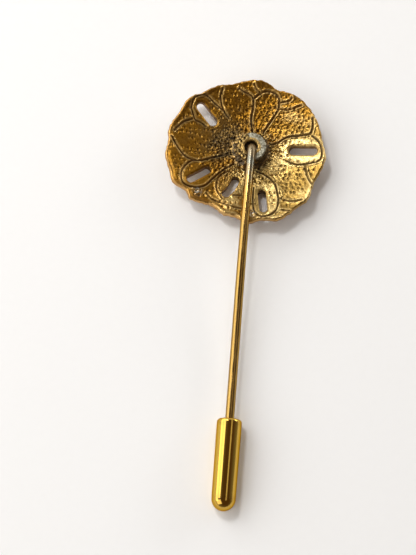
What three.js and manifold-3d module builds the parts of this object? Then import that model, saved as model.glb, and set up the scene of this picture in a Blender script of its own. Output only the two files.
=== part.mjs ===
// A stick pin for a hat or a lapel, lying face down as it is laid on a table: a cast sand dollar head with
// five slots, the pad and bent wire soldered to its back, and the bullet clutch that covers the wire's point.
// Millimetres, +Z up. The wire runs towards -Y, and the origin is under the middle of the whole pin.
import * as THREE from "three";
import { mergeVertices } from "three/addons/utils/BufferGeometryUtils.js";
import Module from "manifold-3d";

const wasm = await Module();
wasm.setup();

// Head: a shallow dish, hollow side up, cut to a lobed outline about the point (0, 0)
const HEAD_RADIUS = 12.7; // where the dish's rise is measured
const CENTRE_WALL = 1.2; // thickness in the middle
const BACK_RISE = 2.2; // how far the hollow side rises from the middle to the rim
const FRONT_RISE = 2.2; // how far the domed side rises from the middle to the rim
const HEAD_SIDES = 96;
// Lobes and notches of the outline, in turn: angle from +X in degrees, radius
const RIM = [
  [0, 12.7], [13, 12.35], [27, 12.55], [44, 12.7], [58, 12.55], [69, 11.95], [80, 12.6], [92, 12.45],
  [105, 12.0], [118, 12.4], [128, 12.4], [139, 13.0], [153, 12.7], [167, 13.0], [176, 12.6], [187, 12.95],
  [200, 12.65], [208, 12.8], [218, 11.7], [226, 11.9], [242, 10.5], [255, 11.1], [265, 11.0], [275, 12.0],
  [285, 11.65], [298, 12.55], [314, 12.3], [324, 12.65], [338, 11.95], [350, 12.3],
];
// Slots through the head, round at both ends and square to the dish: each slot's width and middle line
const SLOTS = [
  { width: 1.55, line: [[7.5, 1.2], [10.65, 1.1]] },
  { width: 1.5, line: [[-5.75, 5.15], [-7.85, 7.35]] },
  { width: 1.25, line: [[-5.9, -3.15], [-8.55, -5.2]] },
  { width: 1.35, line: [[-1.4, -4.45], [-1.95, -5.95], [-2.75, -7.05]] },
  { width: 1.3, line: [[2.95, -6.5], [3.4, -9.35]] },
];

// Boss on the head's back, the pad on it, and the hole for the wire's root
const BOSS = { x: 0.7, y: 0.75, radius: 2.35, top: 2.9 };
const PAD = { radius: 2.42, thickness: 0.45 };
const ROOT_HOLE = { radius: 1.05, floor: 1.5 };
const COLLAR = { foot: 3.1, foot_z: 1.55, top: 2.5 }; // solder round the boss, under the pad
const PLUG_HEIGHT = 0.45; // solder in the root hole
const GAP = 0.03; // between pieces that touch
const ROUND_SIDES = 32;

// Wire: up from its root, round a bend, down a slightly sprung stretch, then straight and level to its point
const WIRE_RADIUS = 0.675;
const WIRE_SIDES = 16;
const ROOT = { x: 0.82, y: 0.53, z: 1.56 };
const BEND_RADIUS = 1.15;
const BEND_TOP = 4.25; // height of the wire's middle line after the bend
const BEND_HEADING = THREE.MathUtils.degToRad(1.2); // the bend points this far to the left of -Y
const BEND_STEPS = 10;
const STEM_X = 0.6;
const SPRUNG_END_Y = -36;
const SPRUNG_STEPS = 12;
const POINT_LENGTH = 3.2;
const POINT_RADIUS = 0.05;

// Clutch: a drawn bullet shell with a turned-in mouth, and the nylon sleeve inside that grips the wire
const MOUTH_Y = -43;
const CLUTCH = { length: 13.7, mouth_radius: 1.89, end_radius: 1.81, wall: 0.35, hole: 0.85, corner: 0.5 };
const LINER = { start: 0.42, length: 10.4, bore: 0.73, lead_in: 0.25 };
const POINT_TO_END = 0.35; // from the wire's point to the shell's inner end

function solidFrom(geometry) {
  const bare = geometry.index ? geometry.toNonIndexed() : geometry.clone();
  bare.deleteAttribute("normal");
  bare.deleteAttribute("uv");
  const merged = mergeVertices(bare, 1e-4);
  return new wasm.Manifold(
    new wasm.Mesh({
      numProp: 3,
      vertProperties: merged.attributes.position.array,
      triVerts: new Uint32Array(merged.index.array),
    }),
  );
}

function geometryFrom(solid) {
  const mesh = solid.getMesh();
  const geometry = new THREE.BufferGeometry();
  geometry.setAttribute("position", new THREE.BufferAttribute(new Float32Array(mesh.vertProperties), 3));
  geometry.setIndex(new THREE.BufferAttribute(new Uint32Array(mesh.triVerts), 1));
  geometry.computeVertexNormals();
  return geometry;
}

// A turned solid about +Z from a profile of [radius, height] points.
function turned(profile, sides = ROUND_SIDES) {
  const points = profile.map(([radius, height]) => new THREE.Vector2(radius, height));
  return new THREE.LatheGeometry(points, sides).rotateX(Math.PI / 2);
}

function disc(radius, low, high, x = 0, y = 0, sides = ROUND_SIDES) {
  return turned([[0, low], [radius, low], [radius, high], [0, high]], sides).translate(x, y, 0);
}

const backHeight = (r) => CENTRE_WALL + BACK_RISE * (r / HEAD_RADIUS) ** 2;
const frontHeight = (r) => FRONT_RISE * (r / HEAD_RADIUS) ** 2;

// The outline as a closed smooth curve through the lobes and notches.
const rimCurve = new THREE.CatmullRomCurve3(
  RIM.map(([degrees, radius]) => new THREE.Vector3(THREE.MathUtils.degToRad(degrees), radius, 0))
    .concat(new THREE.Vector3(THREE.MathUtils.degToRad(RIM[0][0] + 360), RIM[0][1], 0)),
);

// The outline's radius in a direction, read from the curve of angle against radius.
const rimSamples = rimCurve.getPoints(RIM.length * 24);
function rimRadius(angle) {
  const turn = THREE.MathUtils.euclideanModulo(angle, 2 * Math.PI);
  const next = Math.max(1, rimSamples.findIndex((p) => p.x >= turn));
  const [a, b] = [rimSamples[next - 1], rimSamples[next]];
  return THREE.MathUtils.lerp(a.y, b.y, (turn - a.x) / (b.x - a.x));
}

// The dish is turned with the share of the radius across and the share of the wall's thickness up, and each
// point is then moved out to the outline and up to the dish.
function dishGeometry() {
  const across = [0, 0.22, 0.42, 0.6, 0.75, 0.88, 0.97];
  const edge = [[0.992, 0.16], [1, 0.5], [0.992, 0.84]];
  const profile = [
    ...across.map((share) => [share, 0]),
    ...edge,
    ...across.slice().reverse().map((share) => [share, 1]),
  ];
  const geometry = turned(profile, HEAD_SIDES);
  const position = geometry.attributes.position;
  for (let i = 0; i < position.count; i++) {
    const share = Math.hypot(position.getX(i), position.getY(i));
    const angle = Math.atan2(position.getY(i), position.getX(i));
    const r = share * rimRadius(angle);
    const z = THREE.MathUtils.lerp(frontHeight(r), backHeight(r), position.getZ(i));
    position.setXYZ(i, r * Math.cos(angle), r * Math.sin(angle), z);
  }
  return geometry;
}

// A cutter along one straight stretch of a slot's middle line, round at both ends. It leans outwards as it goes
// down, square to the hollow side where the slot is.
function slotCutter([x0, y0], [x1, y1], width, [slotX, slotY]) {
  const length = Math.hypot(x1 - x0, y1 - y0);
  const shape = new THREE.Shape();
  shape.absarc(length, 0, width / 2, -Math.PI / 2, Math.PI / 2, false);
  shape.absarc(0, 0, width / 2, Math.PI / 2, (3 * Math.PI) / 2, false);
  const geometry = new THREE.ExtrudeGeometry(shape, { depth: 6, bevelEnabled: false, curveSegments: 8 });
  geometry.rotateZ(Math.atan2(y1 - y0, x1 - x0)).translate(x0 - slotX, y0 - slotY, -3);
  const r = Math.hypot(slotX, slotY);
  const lean = Math.atan((2 * BACK_RISE * r) / HEAD_RADIUS ** 2);
  const turn = new THREE.Matrix4().makeRotationAxis(new THREE.Vector3(slotY / r, -slotX / r, 0), lean);
  return solidFrom(geometry.applyMatrix4(turn).translate(slotX, slotY, backHeight(r)));
}

function headGeometry() {
  let head = solidFrom(dishGeometry());
  head = head.add(solidFrom(disc(BOSS.radius, 0.6, BOSS.top, BOSS.x, BOSS.y)));
  for (const { width, line } of SLOTS) {
    for (let i = 1; i < line.length; i++) {
      head = head.subtract(slotCutter(line[i - 1], line[i], width, line[0]));
    }
  }
  const hole = disc(ROOT_HOLE.radius, ROOT_HOLE.floor, BOSS.top + 1, BOSS.x, BOSS.y);
  return geometryFrom(head.subtract(solidFrom(hole)));
}

const PAD_TOP = BOSS.top + GAP + PAD.thickness;

function padGeometry() {
  const low = BOSS.top + GAP;
  const bevel = 0.1;
  return turned([
    [ROOT_HOLE.radius, low],
    [PAD.radius, low],
    [PAD.radius, PAD_TOP - bevel],
    [PAD.radius - bevel, PAD_TOP],
    [ROOT_HOLE.radius, PAD_TOP],
    [ROOT_HOLE.radius, low],
  ]).translate(BOSS.x, BOSS.y, 0);
}

function collarGeometry() {
  const inner = BOSS.radius + GAP;
  return turned([
    [inner, COLLAR.foot_z],
    [COLLAR.foot, COLLAR.foot_z],
    [COLLAR.foot, COLLAR.foot_z + 0.25],
    [COLLAR.top + 0.12, BOSS.top - 0.35],
    [COLLAR.top, BOSS.top],
    [inner, BOSS.top],
    [inner, COLLAR.foot_z],
  ]).translate(BOSS.x, BOSS.y, 0);
}

function plugGeometry() {
  const low = ROOT_HOLE.floor + GAP;
  const plug = solidFrom(disc(ROOT_HOLE.radius - GAP, low, low + PLUG_HEIGHT, BOSS.x, BOSS.y));
  const wire = solidFrom(disc(WIRE_RADIUS + GAP, low - 1, low + 2, ROOT.x, ROOT.y));
  return geometryFrom(plug.subtract(wire));
}

const STEM_HEIGHT = CLUTCH.mouth_radius; // the clutch lies on the table
const POINT_Y = MOUTH_Y - CLUTCH.length + CLUTCH.wall + POINT_TO_END;
const UP = new THREE.Vector3(0, 0, 1);

const along = (start, direction, distance) => start.clone().addScaledVector(direction, distance);

// The wire's middle line: root, bend, sprung stretch and straight stretch.
function wirePath() {
  const heading = new THREE.Vector3(-Math.sin(BEND_HEADING), -Math.cos(BEND_HEADING), 0);
  const back = new THREE.Vector3(0, 1, 0);
  const root = new THREE.Vector3(ROOT.x, ROOT.y, ROOT.z);
  const bendStart = along(root, UP, BEND_TOP - BEND_RADIUS - ROOT.z);
  const bendEnd = along(along(bendStart, UP, BEND_RADIUS), heading, BEND_RADIUS);
  const roundness = (4 / 3) * Math.tan(Math.PI / 8) * BEND_RADIUS; // makes the curve a quarter circle
  const straightStart = new THREE.Vector3(STEM_X, SPRUNG_END_Y, STEM_HEIGHT);
  const length = bendEnd.y - SPRUNG_END_Y;
  const path = new THREE.CurvePath();
  path.add(new THREE.LineCurve3(root, bendStart));
  path.add(new THREE.CubicBezierCurve3(
    bendStart, along(bendStart, UP, roundness), along(bendEnd, heading, -roundness), bendEnd,
  ));
  path.add(new THREE.CubicBezierCurve3(
    bendEnd, along(bendEnd, heading, length * 0.45), along(straightStart, back, length / 3), straightStart,
  ));
  path.add(new THREE.LineCurve3(straightStart, new THREE.Vector3(STEM_X, POINT_Y, STEM_HEIGHT)));
  return path;
}

// The wire is turned as a straight rod with its point, then every ring of it is moved onto the middle line.
function wireGeometry() {
  const path = wirePath();
  const [rootEnd, bendEnd, sprungEnd, length] = path.getCurveLengths();
  const steps = (from, to, count) =>
    Array.from({ length: count }, (_, i) => [WIRE_RADIUS, from + ((to - from) * i) / count]);
  const geometry = turned([
    [0, 0],
    [WIRE_RADIUS, 0],
    ...steps(rootEnd, bendEnd, BEND_STEPS),
    ...steps(bendEnd, sprungEnd, SPRUNG_STEPS),
    [WIRE_RADIUS, sprungEnd],
    [WIRE_RADIUS, length - POINT_LENGTH],
    [WIRE_RADIUS * 0.62, length - POINT_LENGTH / 2],
    [POINT_RADIUS, length],
    [0, length],
  ], WIRE_SIDES);
  const position = geometry.attributes.position;
  for (let i = 0; i < position.count; i++) {
    const share = THREE.MathUtils.clamp(position.getZ(i) / length, 0, 1);
    const direction = path.getTangentAt(share);
    const across = new THREE.Vector3(1, 0, 0).addScaledVector(direction, -direction.x).normalize();
    const over = new THREE.Vector3().crossVectors(direction, across);
    const point = along(along(path.getPointAt(share), across, position.getX(i)), over, position.getY(i));
    position.setXYZ(i, point.x, point.y, point.z);
  }
  return geometry;
}

// Points of an arc in a profile, as [radius, height].
function arcPoints(cx, cy, radius, from, to, steps) {
  return Array.from({ length: steps + 1 }, (_, i) => {
    const a = from + ((to - from) * i) / steps;
    return [cx + radius * Math.cos(a), cy + radius * Math.sin(a)];
  });
}

// The shell's profile runs from the outer end round the mouth to the inner end. Heights fall from the mouth.
function shellGeometry() {
  const { length, mouth_radius, end_radius, wall, hole, corner } = CLUTCH;
  const domeAt = -(length - end_radius);
  const innerEnd = end_radius - wall;
  const right = Math.PI / 2;
  return turned([
    ...arcPoints(0, domeAt, end_radius, -right, 0, 8).map(([r, h]) => [Math.max(r, 0), h]),
    ...arcPoints(mouth_radius - corner, -corner, corner, 0, right, 5),
    [hole, 0],
    [hole, -wall],
    [mouth_radius - wall, -wall - 0.05],
    ...arcPoints(0, domeAt, innerEnd, 0, -right, 6).map(([r, h]) => [Math.max(r, 0), h]),
  ]);
}

function linerGeometry() {
  const outer = CLUTCH.end_radius - CLUTCH.wall - GAP;
  const { start, length, bore, lead_in } = LINER;
  return turned([
    [bore, -start - length],
    [outer, -start - length],
    [outer, -start],
    [bore + lead_in, -start],
    [bore, -start - lead_in],
    [bore, -start - length],
  ], 24);
}

const antiqueGold = new THREE.MeshStandardMaterial({ color: 0x8a6420, roughness: 0.42, metalness: 1 });
const wornNickel = new THREE.MeshStandardMaterial({ color: 0x8f8a72, roughness: 0.4, metalness: 1 });
const softSolder = new THREE.MeshStandardMaterial({ color: 0x9a7a3a, roughness: 0.55, metalness: 1 });
const gildedWire = new THREE.MeshStandardMaterial({ color: 0xb98f3c, roughness: 0.25, metalness: 1 });
const polishedBrass = new THREE.MeshStandardMaterial({ color: 0xd0a030, roughness: 0.15, metalness: 1 });
const nylon = new THREE.MeshStandardMaterial({ color: 0xe6e2d6, roughness: 0.6, metalness: 0 });

const pin = new THREE.Group();

function piece(name, geometry, material, parent = pin) {
  const mesh = new THREE.Mesh(geometry, material);
  mesh.name = name;
  parent.add(mesh);
}

piece("sand_dollar_head", headGeometry(), antiqueGold);
piece("solder_collar", collarGeometry(), softSolder);
piece("pin_pad", padGeometry(), wornNickel);
piece("root_solder", plugGeometry(), softSolder);
piece("pin_wire", wireGeometry(), gildedWire);

// The clutch's own +Z points out of its mouth, towards the head.
const clutch = new THREE.Group();
clutch.position.set(STEM_X, MOUTH_Y, STEM_HEIGHT);
clutch.rotation.x = -Math.PI / 2;
piece("clutch_shell", shellGeometry(), polishedBrass, clutch);
piece("clutch_liner", linerGeometry(), nylon, clutch);
pin.add(clutch);

// The origin goes under the middle of the pin.
const bounds = new THREE.Box3().setFromObject(pin, true);
const middle = bounds.getCenter(new THREE.Vector3());
pin.position.set(-middle.x, -middle.y, -bounds.min.z);

export default pin;
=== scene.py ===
"""The looks of a stick pin with a cast sand dollar head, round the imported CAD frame.

Shapes are worked out in millimetres and put into the meshes in metres. The head lies hollow side up, and
the wire runs from its middle towards -Y, where the bullet clutch covers its point.
"""

import math

import bpy
import numpy as np
from bpy.props import FloatProperty, FloatVectorProperty, IntProperty, PointerProperty
from mathutils import Matrix, Vector


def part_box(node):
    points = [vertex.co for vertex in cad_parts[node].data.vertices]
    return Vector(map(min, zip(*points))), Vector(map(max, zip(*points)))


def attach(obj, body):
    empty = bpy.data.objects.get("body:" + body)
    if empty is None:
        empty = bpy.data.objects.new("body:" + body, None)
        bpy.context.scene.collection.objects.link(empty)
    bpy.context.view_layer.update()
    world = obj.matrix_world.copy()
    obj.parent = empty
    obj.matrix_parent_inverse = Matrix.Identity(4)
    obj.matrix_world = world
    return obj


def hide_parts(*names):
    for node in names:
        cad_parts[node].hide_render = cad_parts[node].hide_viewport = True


bl_info = {
    "name": "Sand Dollar Stick Pin",
    "version": (1, 0, 0),
    "blender": (4, 5, 0),
    "location": "3D View > Sidebar > Stick Pin",
    "description": "Makes the cast head, solder, wire and clutch of a stick pin, and its table and lights",
    "category": "Add Mesh",
}

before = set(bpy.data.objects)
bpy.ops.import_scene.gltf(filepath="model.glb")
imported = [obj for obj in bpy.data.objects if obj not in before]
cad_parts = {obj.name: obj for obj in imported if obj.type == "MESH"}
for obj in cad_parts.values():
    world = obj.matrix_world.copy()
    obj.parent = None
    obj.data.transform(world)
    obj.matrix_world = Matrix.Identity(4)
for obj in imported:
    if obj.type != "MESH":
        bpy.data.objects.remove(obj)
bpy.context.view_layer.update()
MM = 0.001
CREASE_ANGLE = math.radians(50)

# The head's outline as lobes and notches, in turn: angle from +X in degrees, radius
RIM = np.array([
    (0, 12.7), (13, 12.35), (27, 12.55), (44, 12.7), (58, 12.55), (69, 11.95), (80, 12.6), (92, 12.45),
    (105, 12.0), (118, 12.4), (128, 12.4), (139, 13.0), (153, 12.7), (167, 13.0), (176, 12.6), (187, 12.95),
    (200, 12.65), (208, 12.8), (218, 11.7), (226, 11.9), (242, 10.5), (255, 11.1), (265, 11.0), (275, 12.0),
    (285, 11.65), (298, 12.55), (314, 12.3), (324, 12.65), (338, 11.95), (350, 12.3),
])
HEAD_RADIUS = 12.7
CENTRE_WALL = 1.2
RISE = 2.2
SLOTS = [
    (1.55, [(7.5, 1.2), (10.65, 1.1)]),
    (1.5, [(-5.75, 5.15), (-7.85, 7.35)]),
    (1.25, [(-5.9, -3.15), (-8.55, -5.2)]),
    (1.35, [(-1.4, -4.45), (-1.95, -5.95), (-2.75, -7.05)]),
    (1.3, [(2.95, -6.5), (3.4, -9.35)]),
]
BOSS = np.array([0.7, 0.75])
BOSS_RADIUS = 2.35
ROOT_HOLE_RADIUS = 1.05

# Engraved lines on the hollow side: round the petals, between them, and short strokes near the rim
PETAL_LINES = [
    [(0.8, 3.6), (0.4, 6.2), (0.6, 8.0), (0.5, 9.4)],
    [(0.5, 9.4), (2.1, 10.6), (3.6, 10.6), (4.6, 9.8), (4.7, 8.3), (4.3, 7.2), (2.4, 3.9)],
    [(0.5, 9.4), (0.0, 10.0), (-1.2, 10.5), (-1.9, 10.9)],
    [(10.2, 6.5), (10.3, 5.2), (10.1, 4.1), (9.4, 3.8), (6.8, 3.5), (5.8, 3.1), (4.9, 2.3)],
    [(10.3, 3.6), (11.5, 2.4), (12.0, 0.6), (11.7, -0.6), (10.5, -1.0), (8.3, -1.3), (6.4, -0.6)],
    [(1.9, -2.6), (3.1, -3.1), (4.8, -4.6), (5.4, -6.5), (5.6, -7.9), (5.2, -9.7), (4.0, -10.6), (2.8, -10.6),
     (1.9, -9.6), (1.6, -7.5), (1.6, -5.5)],
    [(-6.9, -1.7), (-8.6, -2.0), (-9.7, -3.3), (-10.0, -4.8), (-9.4, -6.2), (-7.7, -6.6), (-6.1, -6.0),
     (-4.9, -4.5), (-3.5, -2.9), (-1.8, -1.6)],
    [(-2.9, 0.1), (-4.8, -0.7), (-6.9, -1.7)],
    [(-4.3, 7.2), (-5.7, 8.2), (-6.7, 9.0), (-7.7, 9.2), (-8.9, 8.5), (-9.3, 7.1), (-9.0, 6.0), (-8.6, 5.1),
     (-7.6, 4.7), (-6.8, 4.2)],
    [(-12.0, 1.5), (-10.8, -0.2), (-9.7, -1.3), (-8.3, -1.8), (-6.9, -1.7)],
    [(-4.5, 10.6), (-4.8, 9.4), (-4.5, 7.9), (-3.8, 6.6), (-3.2, 6.0)],
    [(-11.7, 2.7), (-10.5, 4.2), (-9.0, 5.1)],
]
FINE_LINES = [
    [(0.5, 11.7), (0.8, 11.1), (1.4, 10.6)],
    [(4.7, 9.0), (6.3, 9.3), (6.7, 9.8)],
    [(4.9, 8.0), (6.3, 7.9), (8.3, 8.6)],
    [(3.6, 2.0), (4.9, 2.3)],
    [(9.5, -1.4), (9.9, -3.2), (10.7, -4.8)],
    [(5.7, -7.2), (7.2, -7.7), (8.4, -7.7), (9.3, -7.5)],
    [(6.1, -9.4), (7.5, -9.5)],
    [(-5.8, -7.3), (-4.6, -8.3), (-2.2, -9.1), (-0.1, -9.5)],
    [(-1.6, -7.2), (0.1, -7.1)],
    [(-2.6, -2.9), (-3.9, -3.9), (-4.3, -5.2), (-4.1, -6.6), (-3.2, -7.9)],
]
PETAL_ANGLES = [71, 6, 136, 211, 288]  # the five petals of the domed side

# Dots of the hollow side: spacing, radius and seed. The patina's dots are a little wider than the cast
# ones, and the small dots are near the boss only
DOTS = (0.8, 0.2, 21)
DOTS_IN_WEAR = (0.8, 0.21, 21)
SMALL_DOTS = (0.52, 0.15, 22)
INNER_ZONE = (4.5, 7.0)  # the radii between which the small dots fade out
DOT_FIELD = 15  # half the width of the square that the dots are laid over
RUBBED_RIM = math.radians(215)  # where the rim is rubbed most, and its lip stands highest

COPPER = (0.62, 0.36, 0.13)
BARE_METAL = (0.62, 0.6, 0.52)
# A dark colour for stained patches and for the painted shadow round the boss
STAIN_AND_PAINTED_SHADOW = (0.09, 0.08, 0.045)

# The wire's middle line and the clutch's section, as in the CAD model
WIRE_RADIUS = 0.675
ROOT = np.array([0.82, 0.53, 1.56])
BEND_RADIUS = 1.15
BEND_TOP = 4.25
BEND_HEADING = math.radians(1.2)
STEM_X = 0.6
SPRUNG_END_Y = -36.0
MOUTH_Y = -43.0
POINT_LENGTH = 3.2
CLUTCH_LENGTH = 13.7
MOUTH_RADIUS = 1.89
END_RADIUS = 1.81
SHELL_WALL = 0.35
MOUTH_HOLE = 0.85
POINT_TO_END = 0.35

# The head's own middle in the row frame, found from the pad that sits on its boss
pad_low, pad_high = (np.array(corner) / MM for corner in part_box("pin_pad"))
HEAD_MIDDLE = np.array([*((pad_low + pad_high)[:2] / 2 - BOSS), 0.0])


# ---------------------------------------------------------------- shapes as whole arrays

def ease(low, high, value):
    """0 below low, 1 above high, and the smooth cubic step between them."""
    t = np.clip((value - low) / (high - low), 0, 1)
    return t * t * (3 - 2 * t)


def dent(distance, width):
    """A bell that is 1 at no distance and falls with the square of distance over width."""
    return np.exp(-((distance / width) ** 2))


def rolling(x, y, wavelength, seed, waves=16):
    """Soft random ups and downs: the sum of plane waves of about one length, with seeded headings and phases,
    scaled to a mean square of one."""
    draw = np.random.default_rng(seed)
    total = 0
    for _ in range(waves):
        heading, phase = draw.uniform(0, 2 * np.pi, 2)
        pitch = 2 * np.pi / (wavelength * draw.uniform(0.7, 1.4))
        total = total + np.sin(pitch * (x * np.cos(heading) + y * np.sin(heading)) + phase)
    return total / np.sqrt(waves / 2)


def through(points, steps=8):
    """A smooth line through the points: on each stretch the cubic whose slope at a point is half the
    difference of that point's neighbours."""
    p = np.array(points, float)
    p = np.vstack([2 * p[0] - p[1], p, 2 * p[-1] - p[-2]])
    t = np.linspace(0, 1, steps, endpoint=False)[None, :, None]
    a, b, c, d = (p[k:len(p) - 3 + k, None, :] for k in range(4))
    curve = b + t * (c - a) / 2 + t**2 * (a - 2.5 * b + 2 * c - d / 2) + t**3 * (1.5 * (b - c) + (d - a) / 2)
    return np.vstack([curve.reshape(-1, p.shape[1]), p[-2]])


def distance_to(x, y, line):
    """The distance of every point (x, y) from a line of straight stretches: the least, over the stretches,
    of the distance to the nearest point on that stretch."""
    nearest = np.full(np.shape(x), np.inf)
    for (x0, y0), (x1, y1) in zip(line[:-1], line[1:]):
        dx, dy = x1 - x0, y1 - y0
        t = np.clip(((x - x0) * dx + (y - y0) * dy) / (dx * dx + dy * dy), 0, 1)
        nearest = np.minimum(nearest, np.hypot(x - x0 - t * dx, y - y0 - t * dy))
    return nearest


def rim_radius(angle):
    """The outline's radius in a direction: a cubic through the lobes and notches, which carries on round."""
    knots, radii = RIM.T
    knots = np.concatenate([knots[-2:] - 360, knots, knots[:2] + 360])
    radii = np.concatenate([radii[-2:], radii, radii[:2]])
    degrees = np.degrees(angle) % 360
    i = np.clip(np.searchsorted(knots, degrees, side="right") - 1, 1, len(knots) - 3)
    gap = knots[i + 1] - knots[i]
    t = (degrees - knots[i]) / gap
    out = (radii[i + 1] - radii[i - 1]) / (knots[i + 1] - knots[i - 1]) * gap
    back = (radii[i + 2] - radii[i]) / (knots[i + 2] - knots[i]) * gap
    return (
        (2 * t**3 - 3 * t**2 + 1) * radii[i] + (t**3 - 2 * t**2 + t) * out
        + (3 * t**2 - 2 * t**3) * radii[i + 1] + (t**3 - t**2) * back
    )


def dots(x, y, spacing, radius, seed, keep):
    """A field of round dots on a shaken lattice of staggered rows: for every point, how near it is to a dot's
    middle, as the largest bell over the nine lattice cells round it. keep(x, y) gives each dot's strength,
    from 0 to 1."""
    count = int(2 * DOT_FIELD / spacing) + 4
    draw = np.random.default_rng(seed)
    row, column = np.mgrid[0:count, 0:count]
    shake = draw.uniform(-0.24, 0.24, (2, count, count))
    dot_x = (column + 0.5 * (row % 2) + shake[0]) * spacing - DOT_FIELD - spacing
    dot_y = (row + shake[1]) * spacing - DOT_FIELD - spacing
    size = radius * draw.uniform(0.75, 1.2, (count, count))
    strength = keep(dot_x, dot_y) * (draw.uniform(0, 1, (count, count)) > 0.14)
    near_row = np.round((y + DOT_FIELD + spacing) / spacing).astype(int)
    best = np.zeros(np.shape(x))
    for row_step in (-1, 0, 1):
        r = np.clip(near_row + row_step, 0, count - 1)
        near_column = np.round((x + DOT_FIELD + spacing) / spacing - 0.5 * (r % 2)).astype(int)
        for column_step in (-1, 0, 1):
            c = np.clip(near_column + column_step, 0, count - 1)
            d = np.hypot(x - dot_x[r, c], y - dot_y[r, c])
            best = np.maximum(best, strength[r, c] * dent(d, size[r, c]))
    return best


# ---------------------------------------------------------------- the head's relief

def hollow_height(r):
    """The hollow side: the wall's thickness in the middle plus a rise with the square of the radius."""
    return CENTRE_WALL + RISE * (r / HEAD_RADIUS) ** 2


def domed_height(r):
    """The domed side: a rise with the square of the radius."""
    return RISE * (r / HEAD_RADIUS) ** 2


def slot_distance(x, y):
    """The distance outside the nearest slot's edge: to its middle line, less half its width."""
    return np.min([distance_to(x, y, line) - width / 2 for width, line in SLOTS], axis=0)


def line_depth(x, y):
    """How deep the engraving is, from 0 to 1: a bell across each line, the fine lines shallower."""
    petals = np.min([distance_to(x, y, through(points)) for points in PETAL_LINES], axis=0)
    fine = np.min([distance_to(x, y, through(points)) for points in FINE_LINES], axis=0)
    return np.maximum(dent(petals, 0.12), 0.8 * dent(fine, 0.105))


def line_banks(x, y):
    """The banks thrown up on both sides of the engraved lines, from 0 to 1."""
    lines = np.min([distance_to(x, y, through(points)) for points in PETAL_LINES + FINE_LINES], axis=0)
    return dent(lines - 0.27, 0.11)


def dotted_zone(x, y):
    """Where dots are cast: off the rim, the slots, the boss and the engraved lines."""
    from_rim = rim_radius(np.arctan2(y, x)) - np.hypot(x, y)
    clear = (slot_distance(x, y) > 0.45) & (np.hypot(x - BOSS[0], y - BOSS[1]) > 3.2)
    patchy = rolling(x, y, 4.5, 11) > -1.1
    return (clear & patchy & (line_depth(x, y) < 0.12)) * ease(0.6, 1.2, from_rim)


def hollow_relief(x, y, depth, dot_depth):
    """What the casting adds to the hollow side: less the engraved lines, the dots and a rounding at the
    slots' edges, plus banks beside the lines, a lip along the rim, wrinkles fanning out from the boss, a
    gentle waviness, and a fine roughness that is strongest near the middle."""
    r, angle = np.hypot(x, y), np.arctan2(y, x)
    from_rim = rim_radius(angle) - r
    boss_x, boss_y = x - BOSS[0], y - BOSS[1]
    from_boss, round_boss = np.hypot(boss_x, boss_y), np.arctan2(boss_y, boss_x)
    left_below = ease(-0.3, 0.7, np.cos(angle - RUBBED_RIM))
    lip = 0.09 * dent(from_rim - 0.45, 0.2) - 0.1 * dent(from_rim - 0.95, 0.22)
    wrinkles = np.sin(23 * round_boss + 2 * rolling(x, y, 2.5, 5)) * dent(from_boss - 3.4, 0.9)
    inner = 1 - ease(*INNER_ZONE, r)
    rough = 0.045 * rolling(x, y, 0.75, 7) + 0.035 * rolling(x, y, 0.42, 8)
    return (
        -depth * line_depth(x, y) + 0.4 * depth * line_banks(x, y)
        - dot_depth * ease(0.15, 0.8, dots(x, y, *DOTS, dotted_zone))
        - 0.6 * dot_depth * inner * ease(0.15, 0.8, dots(x, y, *SMALL_DOTS, dotted_zone))
        - 0.14 * dent(np.maximum(slot_distance(x, y), 0), 0.16)
        + lip * (0.25 + 0.75 * left_below)
        + 0.07 * wrinkles * ease(-0.5, 0.5, np.cos(round_boss))
        + 0.05 * rolling(x, y, 5.5, 3) * ease(1.5, 4.0, r)
        + rough * (0.16 + 0.84 * inner) * ease(0.3, 1.0, from_rim)
    )


def petal_outline(degrees):
    """One petal of the domed side: a closed drop along its own axis, widest past its middle."""
    t = np.linspace(0, 2 * np.pi, 41)
    reach = 4.3 - 3.0 * np.cos(t)
    half = 1.25 * np.sin(t) * (1 - 0.3 * np.cos(t))
    a = math.radians(degrees)
    return np.column_stack([reach * np.cos(a) - half * np.sin(a), reach * np.sin(a) + half * np.cos(a)])


def domed_relief(x, y):
    """What the casting adds to the domed side, downwards: grooves round five petals, and low round dots."""
    r = np.hypot(x, y)
    outlines = np.min([distance_to(x, y, petal_outline(a)) for a in PETAL_ANGLES], axis=0)
    from_rim = rim_radius(np.arctan2(y, x)) - r

    def between(dot_x, dot_y):
        off_slots = slot_distance(dot_x, dot_y) > 0.7
        return off_slots * ease(0.6, 1.2, rim_radius(np.arctan2(dot_y, dot_x)) - np.hypot(dot_x, dot_y))

    grooves = dent(outlines, 0.2)
    bumps = dots(x, y, 0.85, 0.24, 31, between) * (1 - grooves)
    engraved = (0.16 * grooves + 0.09 * dent(from_rim - 0.9, 0.25)) * ease(0.2, 0.8, r)
    return engraved - 0.05 * bumps * ease(3.0, 4.0, r)


# ---------------------------------------------------------------- meshes

def ring_faces(rows, columns):
    """The quads between rings of points, each joined to the next ring and closing round on itself."""
    row, column = np.mgrid[0:rows - 1, 0:columns]
    a = row * columns + column
    b = row * columns + (column + 1) % columns
    return np.stack([a, b, b + columns, a + columns], axis=-1).reshape(-1, 4)


def closed(rings, first_pole, last_pole):
    """A closed surface: rings of points joined in turn, with a fan of triangles from a pole to the first
    ring and another from the last ring to a pole."""
    rows, columns = rings.shape[:2]
    k = np.arange(columns)
    after = (k + 1) % columns
    first, last = rows * columns, rows * columns + 1
    start = np.stack([np.full(columns, first), after, k], axis=-1)
    end = np.stack([np.full(columns, last), first - columns + k, first - columns + after], axis=-1)
    return np.vstack([rings.reshape(-1, 3), first_pole, last_pole]), [ring_faces(rows, columns), start, end]


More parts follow.
